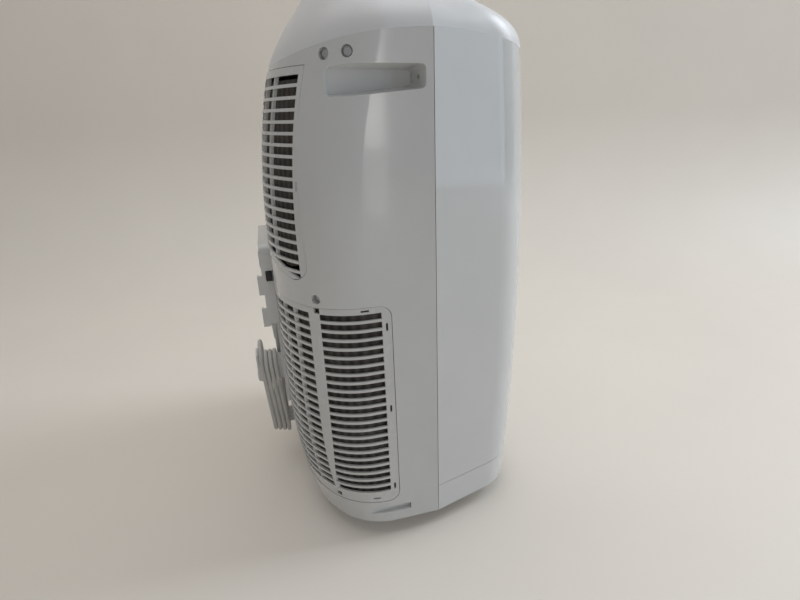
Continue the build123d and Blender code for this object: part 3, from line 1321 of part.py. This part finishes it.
def nodes():
    left_grille = lower_grille()
    left_filter = lower_filter()
    left_latch = hose_latch()
    shelf_z = MID_DECK_Z + MID_DECK_T
    made = {
        "rear_shell": rear_shell(),
        "front_panel": front_panel(),
        "front_lower_trim": front_lower_trim(),
        "top_cover": top_cover(),
        "outlet_flap": outlet_flap(),
        "flap_motor": flap_motor(),
        "outlet_duct": outlet_duct(),
        "outlet_vanes": outlet_vanes(),
        "control_panel": control_panel(),
        "display_window": display_window(),
        "control_board": control_board(),
        "upper_grille": upper_grille(),
        "upper_filter": upper_filter(),
        "lower_grille_left": left_grille,
        "lower_grille_right": flip(left_grille),
        "lower_filter_left": left_filter,
        "lower_filter_right": flip(left_filter),
        "exhaust_outlet": exhaust_outlet(),
        "hose_latch_left": left_latch,
        "hose_latch_right": flip(left_latch),
        "cord_hook_upper": upper_hook(),
        "cord_hook_lower": lower_hook(),
        "cord_gland": cord_gland(),
        "power_cord_lead": cord_lead(),
        "power_cord_hank": cord_hank(),
        "mains_plug": mains_plug(),
        "base_pan": base_pan(),
        "drain_cap": drain_cap(),
        "compressor": compressor(),
        "compressor_grommets": compressor_grommets(),
        "condenser_coil": coil(COND_COIL_W, COND_COIL_H, pan_top() + GROMMET_H, pan_top()),
        "evaporator_coil": coil(EVAP_COIL_W, EVAP_COIL_H, shelf_z + GROMMET_H, shelf_z),
        "condenser_scroll": fan_scroll(COND_SCROLL_R, FAN_Z_COND, PLENUM_LOW_Z, COND_SCROLL_R - TOWER_W,
                                       COND_SCROLL_R, pan_top(), COND_FAN_R - BLADE_L),
        "evaporator_scroll": fan_scroll(EVAP_SCROLL_R, FAN_Z_EVAP, DUCT_Z, -EVAP_SCROLL_R,
                                        TOWER_W - EVAP_SCROLL_R, shelf_z, EVAP_FAN_R - BLADE_L),
        "condenser_fan": fan_wheel(COND_FAN_R, FAN_Z_COND),
        "evaporator_fan": fan_wheel(EVAP_FAN_R, FAN_Z_EVAP),
        "condenser_motor": fan_motor(FAN_Z_COND),
        "evaporator_motor": fan_motor(FAN_Z_EVAP),
        "mid_deck": mid_deck(),
        "exhaust_duct": exhaust_duct(),
        "refrigerant_pipes": refrigerant_pipes(),
        "control_box": control_box(),
        "slinger_wheel": slinger_wheel(),
        "slinger_motor": slinger_motor(),
        "housing_screws": housing_screws(),
    }
    for name, x in zip(BUTTON_NAMES, button_xs()):
        made[f"button_{name}"] = button(x)
    for name, (x, y) in caster_places().items():
        made[f"caster_fork_{name}"] = caster_fork(x, y)
        made[f"caster_wheel_{name}"] = caster_wheel(x, y)
    return made


os.makedirs("parts", exist_ok=True)
for node_name, shape in nodes().items():
    export_step(shape, f"parts/{node_name}.step")
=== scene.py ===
"""Looks of a portable air conditioner: plastics, filter mesh, metal inner parts and the wound cord."""

import json
from math import cos, pi, radians, sin

import bpy
from mathutils import Matrix, Vector


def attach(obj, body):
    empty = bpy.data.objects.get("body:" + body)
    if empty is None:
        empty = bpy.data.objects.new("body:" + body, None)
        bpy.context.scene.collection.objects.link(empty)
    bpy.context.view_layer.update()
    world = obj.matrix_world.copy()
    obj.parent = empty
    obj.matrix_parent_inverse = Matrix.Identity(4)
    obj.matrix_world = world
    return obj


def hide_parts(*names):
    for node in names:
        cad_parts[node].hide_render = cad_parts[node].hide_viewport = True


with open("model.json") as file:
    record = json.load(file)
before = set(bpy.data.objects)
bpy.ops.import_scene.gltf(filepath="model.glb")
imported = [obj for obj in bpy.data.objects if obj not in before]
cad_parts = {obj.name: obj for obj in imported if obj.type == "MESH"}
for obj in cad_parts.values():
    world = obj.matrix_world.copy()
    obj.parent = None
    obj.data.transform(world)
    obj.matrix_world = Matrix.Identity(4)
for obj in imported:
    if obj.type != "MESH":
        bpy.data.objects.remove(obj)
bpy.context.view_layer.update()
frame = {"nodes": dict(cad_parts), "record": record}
nodes = frame["nodes"]

# Camera: place in metres, look direction on the floor plan, pitch and roll in degrees, focal length in pixels
IMAGE_WIDTH = 800
SENSOR_WIDTH = 36.0
FOCAL_PIXELS = 490.0
CAMERA_PLACE = (-0.755, 0.141, 0.576)
LOOK_X = 0.9703
LOOK_Y = -0.2419
PITCH = 21.35
ROLL = 2.238
CLIP_START = 0.02

# Floor that sweeps up into a wall, in metres
FLOOR_NEAR = -4.5
COVE_START = 0.65
COVE_R = 0.55
WALL_TOP = 2.2
BACKDROP_HALF = 4.5
BACKDROP_TURN = -0.25
COVE_STEPS = 24
FLOOR_COLOUR = (0.74, 0.69, 0.62)
FLOOR_GLOW = 0.14

# Cord: the same loops as the solid, in metres
CORD_D = 0.0066
CORD_PITCH = 0.0073
CORD_SEAT_GAP = 0.0004
HANK_LOOPS = 4
HANK_LOW_Z = 0.082
HANK_LIFT = 0.002
HOOK_R = 0.0164
HOOK_Z = 0.190
SPINE_FACE_Y = 0.159
TAIL_R = 0.033
TAIL_END_Z = 0.172
CORD_EXIT_Z = 0.224
LOOP_R = 0.0206
TURN_STEP = 30

# Light: room colour and strength, then each lamp's place, aim, size in metres, power in watts and colour
ROOM_COLOUR = (0.96, 0.97, 1.0)
ROOM_STRENGTH = 0.24
MIDDLE = (0, 0, 0.4)
SIDE = (-0.22, 0.03, 0.55)
DAYLIGHT = (0.84, 0.92, 1.0)
WARM_WHITE = (1.0, 0.98, 0.95)
BLUE_SKY = (0.66, 0.82, 1.0)
LAMPS = {
    "window": ((0.435, -3.48, 2.43), MIDDLE, (2.03, 2.03), 130, DAYLIGHT),
    "ceiling": ((0.2, 0.1, 2.6), MIDDLE, (2.2, 2.2), 20, WARM_WHITE),
    "wide_strip": ((-2.4, -0.425, 0.78), SIDE, (0.13, 0.80), 1.0, WARM_WHITE),
    "slim_strip": ((-2.4, -0.285, 0.78), SIDE, (0.03, 0.80), 0.22, WARM_WHITE),
    "low_strip": ((-2.4, -0.425, 0.19), SIDE, (0.13, 0.36), 0.14, WARM_WHITE),
    "sky": ((-1.9, -2.4, 0.7), MIDDLE, (1.4, 1.3), 7, BLUE_SKY),
}


# Camera
def make_camera():
    look = Vector((LOOK_X, LOOK_Y, 0)).normalized()
    up = Vector((0, 0, 1))
    right = look.cross(up)
    pitch = radians(PITCH)
    forward = look * cos(pitch) - up * sin(pitch)
    level_up = look * sin(pitch) + up * cos(pitch)
    roll = radians(ROLL)
    image_right = right * cos(roll) - level_up * sin(roll)
    image_up = right * sin(roll) + level_up * cos(roll)
    data = bpy.data.cameras.new("camera")
    data.sensor_width = SENSOR_WIDTH
    data.lens = FOCAL_PIXELS * SENSOR_WIDTH / IMAGE_WIDTH
    data.clip_start = CLIP_START
    camera = bpy.data.objects.new("camera", data)
    turn = Matrix((image_right, image_up, -forward)).transposed()
    camera.matrix_world = Matrix.Translation(CAMERA_PLACE) @ turn.to_4x4()
    bpy.context.scene.collection.objects.link(camera)
    bpy.context.scene.camera = camera


# Node helpers
class Nodes:
    """Short names for building one material's node tree."""

    def __init__(self, name):
        self.material = bpy.data.materials.new(name)
        self.material.use_nodes = True
        self.tree = self.material.node_tree
        self.shader = self.tree.nodes["Principled BSDF"]
        self.place = self.add("ShaderNodeTexCoord").outputs["Object"]

    def add(self, kind, **settings):
        node = self.tree.nodes.new(kind)
        for key, value in settings.items():
            setattr(node, key, value)
        return node

    def link(self, source, target):
        self.tree.links.new(source, target)

    def noise(self, scale, detail=3.0, rough=0.55):
        node = self.add("ShaderNodeTexNoise")
        node.inputs["Scale"].default_value = scale
        node.inputs["Detail"].default_value = detail
        node.inputs["Roughness"].default_value = rough
        self.link(self.place, node.inputs["Vector"])
        return node.outputs["Fac"]

    def span(self, value, low, high, from_low=0.0, from_high=1.0):
        node = self.add("ShaderNodeMapRange")
        node.inputs["From Min"].default_value = from_low
        node.inputs["From Max"].default_value = from_high
        node.inputs["To Min"].default_value = low
        node.inputs["To Max"].default_value = high
        self.link(value, node.inputs["Value"])
        return node.outputs["Result"]

    def blend(self, factor, first, second):
        node = self.add("ShaderNodeMix", data_type="RGBA")
        for socket in node.inputs:
            if socket.name == "A" and socket.type == "RGBA":
                socket.default_value = (*first, 1)
            if socket.name == "B" and socket.type == "RGBA":
                socket.default_value = (*second, 1)
        self.link(factor, node.inputs["Factor"])
        return next(s for s in node.outputs if s.type == "RGBA")

    def math(self, kind, first, second):
        node = self.add("ShaderNodeMath", operation=kind)
        for value, socket in ((first, node.inputs[0]), (second, node.inputs[1])):
            if isinstance(value, (int, float)):
                socket.default_value = value
            else:
                self.link(value, socket)
        return node.outputs[0]

    def axes(self):
        node = self.add("ShaderNodeSeparateXYZ")
        self.link(self.place, node.inputs[0])
        return node.outputs

    def ripple(self, value, pitch):
        """Sine of a length, one wave per pitch, from -1 to 1."""
        return self.math("SINE", self.math("MULTIPLY", value, 2 * pi / pitch), 0.0)

    def bump(self, height, depth):
        node = self.add("ShaderNodeBump")
        node.inputs["Distance"].default_value = depth
        self.link(height, node.inputs["Height"])
        self.link(node.outputs["Normal"], self.shader.inputs["Normal"])


def shade(colour, share):
    return tuple(c * share for c in colour)


def plastic(name, colour, rough, grain=0.00002, coat=0.0, tint=0.93):
    """Moulded plastic: faint yellowing in patches, handling marks in the gloss and a fine moulded grain."""
    n = Nodes(name)
    patches = n.span(n.noise(7.0, 4.0), 0.0, 1.0, 0.38, 0.68)
    n.link(n.blend(patches, colour, shade(colour, tint)), n.shader.inputs["Base Color"])
    n.link(n.span(n.noise(42.0, 5.0), rough * 0.82, rough * 1.25, 0.3, 0.7), n.shader.inputs["Roughness"])
    n.shader.inputs["Coat Weight"].default_value = coat
    n.shader.inputs["Coat Roughness"].default_value = 0.06
    n.bump(n.noise(1500.0, 2.0), grain)
    return n.material


def metal(name, colour, rough, brushed=0.0):
    """Bare or plated metal with a drawn grain and dull patches."""
    n = Nodes(name)
    dull = n.span(n.noise(35.0, 4.0), 0.0, 1.0, 0.35, 0.7)
    n.link(n.blend(dull, colour, shade(colour, 0.8)), n.shader.inputs["Base Color"])
    n.link(n.span(n.noise(120.0, 4.0), rough * 0.8, rough * 1.3, 0.3, 0.7), n.shader.inputs["Roughness"])
    n.shader.inputs["Metallic"].default_value = 1.0
    if brushed:
        n.bump(n.ripple(n.axes()["Z"], brushed), brushed * 0.05)
    return n.material


def filter_mesh():
    """Fine dark mesh with upright pleats, painted shade along the pleat folds and dust in it."""
    n = Nodes("filter_mesh")
    axes = n.axes()
    around = n.math("ADD", axes["X"], axes["Y"])
    threads = n.math("MULTIPLY", n.ripple(around, 0.0026), n.ripple(axes["Z"], 0.0026))
    # Pleat wave, used twice: as bump relief for the folds, and in the colour as painted shade that darkens
    # the folds
    pleat_folds_and_shade = n.ripple(around, 0.014)
    dust = n.span(n.noise(22.0, 5.0), 0.0, 0.55, 0.35, 0.75)
    # Colour tone: the thread pattern, painted shade along the pleats, and dust
    threads_pleat_shade_and_dust = n.math("ADD", n.span(n.math("ADD", threads, pleat_folds_and_shade), 0.0, 0.6, -1.6, 1.6), dust)
    n.link(n.blend(threads_pleat_shade_and_dust, (0.030, 0.026, 0.022), (0.20, 0.18, 0.155)), n.shader.inputs["Base Color"])
    n.shader.inputs["Roughness"].default_value = 0.85
    n.bump(n.math("ADD", threads, pleat_folds_and_shade), 0.0004)
    return n.material


def finned():
    """Closely stacked aluminium fins, with painted shade in the gaps between them."""
    n = Nodes("coil_aluminium")
    # Fin wave: bump relief for the fins, and in the colour painted shade that darkens the gaps between fins
    fins_and_gap_shade = n.ripple(n.axes()["X"], 0.0018)
    n.link(n.blend(n.span(fins_and_gap_shade, 0.0, 1.0, -1.0, 1.0), (0.30, 0.31, 0.32), (0.78, 0.79, 0.80)),
           n.shader.inputs["Base Color"])
    n.shader.inputs["Metallic"].default_value = 1.0
    n.link(n.span(n.noise(60.0), 0.3, 0.5), n.shader.inputs["Roughness"])
    n.bump(fins_and_gap_shade, 0.0004)
    return n.material


def board():
    """Lacquered circuit board with copper runs under the lacquer."""
    n = Nodes("board_green")
    axes = n.axes()
    runs = n.math("MULTIPLY", n.ripple(axes["X"], 0.006), n.ripple(axes["Y"], 0.009))
    n.link(n.blend(n.span(runs, 0.0, 1.0, -0.4, 0.4), (0.02, 0.10, 0.04), (0.05, 0.20, 0.08)),
           n.shader.inputs["Base Color"])
    n.link(n.span(n.noise(80.0), 0.25, 0.4), n.shader.inputs["Roughness"])
    return n.material


def materials():
    return {
        "housing_white": plastic("housing_white", (0.74, 0.745, 0.735), 0.11, grain=0.000003, coat=0.5,
                                 tint=0.955),
        "cover_white": plastic("cover_white", (0.80, 0.80, 0.80), 0.34, grain=0.00004, tint=0.96),
        "grille_white": plastic("grille_white", (0.74, 0.74, 0.725), 0.24, coat=0.2, tint=0.94),
        "filter_mesh": filter_mesh(),
        "inner_plastic": plastic("inner_plastic", (0.26, 0.26, 0.27), 0.55, grain=0.00005),
        "panel_grey": plastic("panel_grey", (0.55, 0.56, 0.57), 0.30, grain=0.00003),
        "display_glass": plastic("display_glass", (0.012, 0.013, 0.016), 0.08, grain=0.0, coat=0.8),
        "board_green": board(),
        "latch_black": plastic("latch_black", (0.022, 0.022, 0.022), 0.50, grain=0.00005),
        "hook_grey": plastic("hook_grey", (0.66, 0.66, 0.64), 0.32, tint=0.9),
        "cord_grey": plastic("cord_grey", (0.70, 0.69, 0.66), 0.42, grain=0.00005, tint=0.88),
        "pan_black": plastic("pan_black", (0.045, 0.045, 0.047), 0.55, grain=0.00006),
        "shell_black": plastic("shell_black", (0.020, 0.020, 0.021), 0.30, grain=0.00003, coat=0.3),
        "grommet_rubber": plastic("grommet_rubber", (0.030, 0.030, 0.030), 0.75, grain=0.00006),
        "coil_aluminium": finned(),
        "fan_black": plastic("fan_black", (0.050, 0.050, 0.053), 0.48, grain=0.00005),
        "motor_steel": metal("motor_steel", (0.55, 0.56, 0.57), 0.34, brushed=0.0009),
        "motor_dark": plastic("motor_dark", (0.10, 0.10, 0.11), 0.50, grain=0.00005),
        "deck_steel": metal("deck_steel", (0.58, 0.59, 0.60), 0.42),
        "pipe_copper": metal("pipe_copper", (0.62, 0.30, 0.17), 0.30),
        "screw_steel": metal("screw_steel", (0.66, 0.66, 0.66), 0.38),
        "button_white": plastic("button_white", (0.78, 0.78, 0.775), 0.30, grain=0.00003),
        "caster_black": plastic("caster_black", (0.040, 0.040, 0.042), 0.48, grain=0.00005),
        "wheel_grey": plastic("wheel_grey", (0.095, 0.095, 0.10), 0.60, grain=0.00008),
    }


def dress_nodes(made):
    """Each solid takes the material of its slot."""
    for part in frame["record"]["subparts"]:
        mesh = nodes[part["node"]].data
        mesh.materials.clear()
        mesh.materials.append(made[part["material_slot"]])


# Power cord
def turn_points(centre_x, y, z, radius, from_turn, to_turn):
    """Control points of a turn in degrees, outside it by as much as the spline cuts inside them."""
    reach = radius / cos(radians(TURN_STEP / 2))
    count = round(abs(to_turn - from_turn) / TURN_STEP)
    turns = [radians(from_turn + (to_turn - from_turn) * i / count) for i in range(count + 1)]
    return [(centre_x + reach * cos(t), y, z + reach * sin(t)) for t in turns]


def cord_points():
    """Straight down from the gland, loops over the upper hook and a tail over to the plug."""
    x = HOOK_R + CORD_SEAT_GAP + CORD_D / 2
    first_y = SPINE_FACE_Y + CORD_SEAT_GAP + CORD_D / 2
    points = [(x, first_y, CORD_EXIT_Z), (x, first_y, HOOK_Z)]
    for loop in range(HANK_LOOPS):
        y = first_y + loop * CORD_PITCH
        low = HANK_LOW_Z + loop * HANK_LIFT
        points += turn_points(0, y, low, LOOP_R, 0, -180)
        if loop < HANK_LOOPS - 1:
            points += turn_points(0, y + CORD_PITCH, HOOK_Z, LOOP_R, 180, 0)
    last_y = first_y + HANK_LOOPS * CORD_PITCH
    half_step = TURN_STEP / 2
    points += turn_points(TAIL_R - x, last_y, HOOK_Z, TAIL_R, 180 - half_step, half_step)
    points.append((2 * TAIL_R - x, last_y, TAIL_END_Z))
    return points


def make_cord(material):
    points = cord_points()
    data = bpy.data.curves.new("power_cord", "CURVE")
    data.dimensions = "3D"
    data.bevel_depth = CORD_D / 2
    data.bevel_resolution = 4
    data.use_fill_caps = True
    data.resolution_u = 8
    spline = data.splines.new("NURBS")
    spline.points.add(len(points) - 1)
    for point, place in zip(spline.points, points):
        point.co = (*place, 1)
    spline.order_u = 3
    spline.use_endpoint_u = True
    cord = bpy.data.objects.new("power_cord", data)
    bpy.context.scene.collection.objects.link(cord)
    data.materials.append(material)
    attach(cord, "housing")
    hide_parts("power_cord_lead", "power_cord_hank")


# Room
def backdrop_paint():
    """Matt cream paint that looks pale to the camera and to gloss, and is see-through from behind."""
    n = Nodes("pale_backdrop")
    mottle = n.span(n.noise(3.0, 4.0), 0.0, 1.0, 0.35, 0.7)
    n.link(n.blend(mottle, FLOOR_COLOUR, shade(FLOOR_COLOUR, 0.97)), n.shader.inputs["Base Color"])
    n.shader.inputs["Roughness"].default_value = 0.6
    path = n.add("ShaderNodeLightPath").outputs
    seen = n.math("MAXIMUM", path["Is Camera Ray"], path["Is Glossy Ray"])
    seen = n.math("MAXIMUM", seen, path["Is Transmission Ray"])
    n.shader.inputs["Emission Color"].default_value = (*FLOOR_COLOUR, 1)
    n.link(n.math("MULTIPLY", seen, FLOOR_GLOW), n.shader.inputs["Emission Strength"])
    clear = n.add("ShaderNodeBsdfTransparent")
    mix = n.add("ShaderNodeMixShader")
    n.link(n.add("ShaderNodeNewGeometry").outputs["Backfacing"], mix.inputs["Fac"])
    n.link(n.shader.outputs["BSDF"], mix.inputs[1])
    n.link(clear.outputs["BSDF"], mix.inputs[2])
    n.link(mix.outputs["Shader"], n.tree.nodes["Material Output"].inputs["Surface"])
    return n.material


def make_backdrop():
    """Floor, a quarter round and a wall behind the object, in one sheet with no line between them."""
    profile = [(FLOOR_NEAR, 0)]
    for step in range(COVE_STEPS + 1):
        turn = pi / 2 * step / COVE_STEPS
        profile.append((COVE_START + COVE_R * sin(turn), COVE_R * (1 - cos(turn))))
    profile.append((COVE_START + COVE_R, WALL_TOP))
    points = [(x, y, z) for x, z in profile for y in (-BACKDROP_HALF, BACKDROP_HALF)]
    faces = [(2 * i, 2 * i + 2, 2 * i + 3, 2 * i + 1) for i in range(len(profile) - 1)]
    mesh = bpy.data.meshes.new("backdrop")
    mesh.from_pydata(points, [], faces)
    mesh.polygons.foreach_set("use_smooth", [True] * len(faces))
    mesh.materials.append(backdrop_paint())
    backdrop = bpy.data.objects.new("backdrop", mesh)
    backdrop.rotation_euler = (0, 0, BACKDROP_TURN)
    bpy.context.scene.collection.objects.link(backdrop)


def area_light(name, place, target, size, power, colour):
    data = bpy.data.lights.new(name, "AREA")
    data.shape = "RECTANGLE"
    data.size, data.size_y = size
    data.energy = power
    data.color = colour
    light = bpy.data.objects.new(name, data)
    light.location = place
    light.rotation_mode = "QUATERNION"
    light.rotation_quaternion = (Vector(target) - Vector(place)).to_track_quat("-Z", "Y")
    light.visible_camera = False
    bpy.context.scene.collection.objects.link(light)


def make_lights():
    """Soft daylight from the front, a weak ceiling, a sky fill and three strips reflected down the side."""
    world = bpy.data.worlds.new("soft_room")
    bpy.context.scene.world = world
    world.use_nodes = True
    background = world.node_tree.nodes["Background"]
    background.inputs["Color"].default_value = (*ROOM_COLOUR, 1)
    background.inputs["Strength"].default_value = ROOM_STRENGTH
    for name, lamp in LAMPS.items():
        area_light(name, *lamp)


make_camera()
finishes = materials()
dress_nodes(finishes)
make_cord(finishes["cord_grey"])
make_backdrop()
make_lights()

bpy.context.scene.view_settings.view_transform = "Standard"
